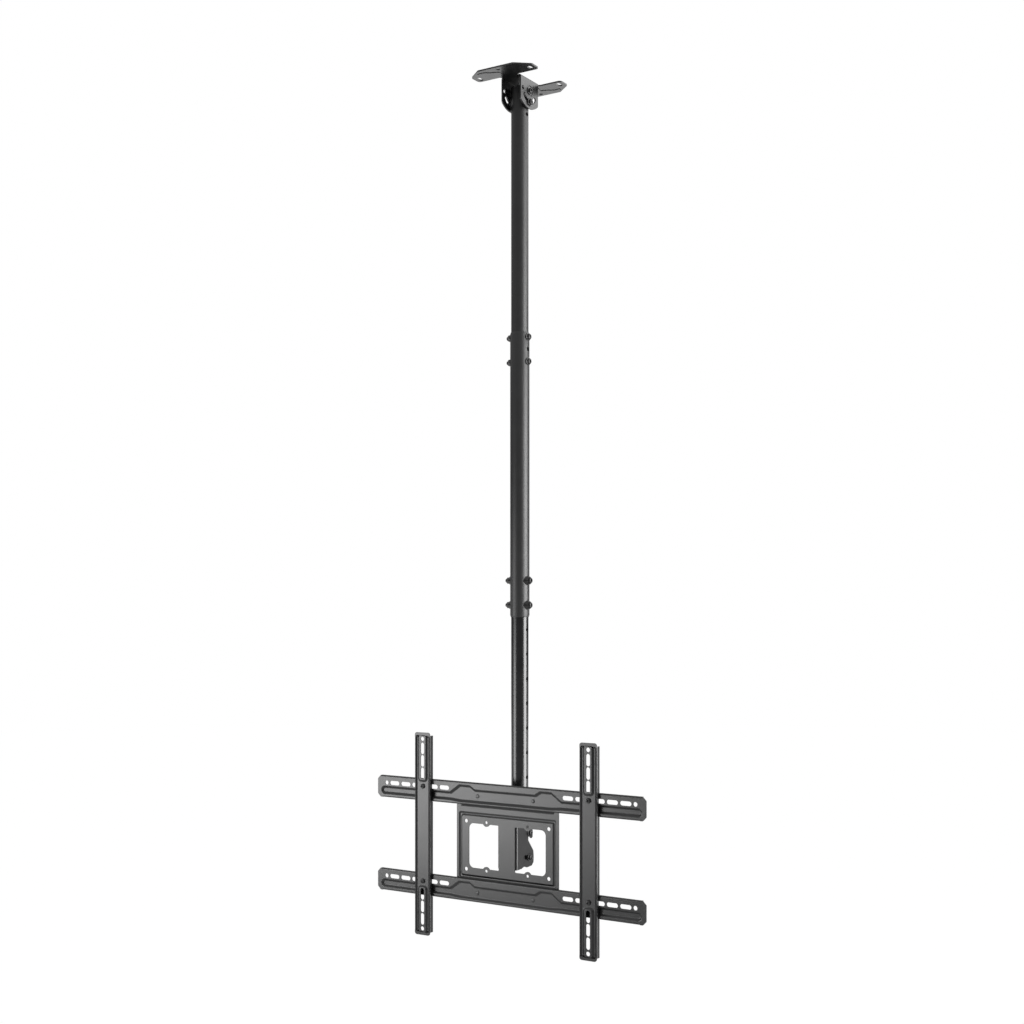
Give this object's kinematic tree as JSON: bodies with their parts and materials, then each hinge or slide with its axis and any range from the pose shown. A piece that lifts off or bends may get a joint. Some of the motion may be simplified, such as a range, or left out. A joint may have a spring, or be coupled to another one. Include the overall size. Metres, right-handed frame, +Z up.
{
  "type": "tv ceiling mount",
  "caption": "Telescopic ceiling mount: a folded ceiling plate, a bolted round pole and a tilting plate with cross rails and slotted upright brackets.",
  "frame": {"origin": "centre of the ceiling plate's top face, on the pole's axis", "axes": "+Z up into the ceiling, +X along the cross rails, the television faces -Y"},
  "size_m": [0.647, 0.19, 1.784],
  "materials": {
    "sheet_black": "satin black powder coat on steel sheet",
    "tube_black": "satin black powder coat on steel tube",
    "fastener_black": "black oxide steel",
    "spacer_nylon": "moulded black nylon"
  },
  "bodies": {
    "ceiling_head": {"ceiling_plate": "sheet_black", "ceiling_pivot_screw": "fastener_black", "ceiling_pivot_washers": "fastener_black", "ceiling_pivot_nut": "fastener_black"},
    "pole": {"upper_tube": "tube_black", "middle_tube": "tube_black", "lower_tube": "tube_black", "ceiling_lock_screw": "fastener_black", "ceiling_lock_washers": "fastener_black", "ceiling_lock_nut": "fastener_black", "ceiling_spacers": "spacer_nylon", "upper_joint_screws": "fastener_black", "upper_joint_washers": "fastener_black", "upper_joint_nuts": "fastener_black", "lower_joint_screws": "fastener_black", "lower_joint_saddles": "fastener_black", "lower_joint_nuts": "fastener_black", "tilt_pivot_screw": "fastener_black", "tilt_pivot_washers": "fastener_black", "tilt_pivot_nut": "fastener_black", "tilt_lock_screw": "fastener_black", "tilt_lock_washers": "fastener_black", "tilt_lock_nut": "fastener_black", "tilt_spacers": "spacer_nylon"},
    "tv_frame": {"tilt_bracket": "sheet_black", "vesa_plate": "sheet_black", "upper_rail": "sheet_black", "lower_rail": "sheet_black", "rail_rivets": "fastener_black", "left_bracket": "sheet_black", "right_bracket": "sheet_black", "bracket_screws": "fastener_black", "bracket_washers": "fastener_black", "bracket_nuts": "fastener_black"}
  },
  "joints": [
    {"name": "ceiling_tilt", "type": "hinge", "parent": "ceiling_head", "child": "pole", "pos_m": [0, 0, -0.0257], "axis": [1, 0, 0], "range_deg": [-55, 55]},
    {"name": "tv_tilt", "type": "hinge", "parent": "pole", "child": "tv_frame", "pos_m": [0, 0, -1.5585], "axis": [1, 0, 0], "range_deg": [0, 17]}
  ]
}
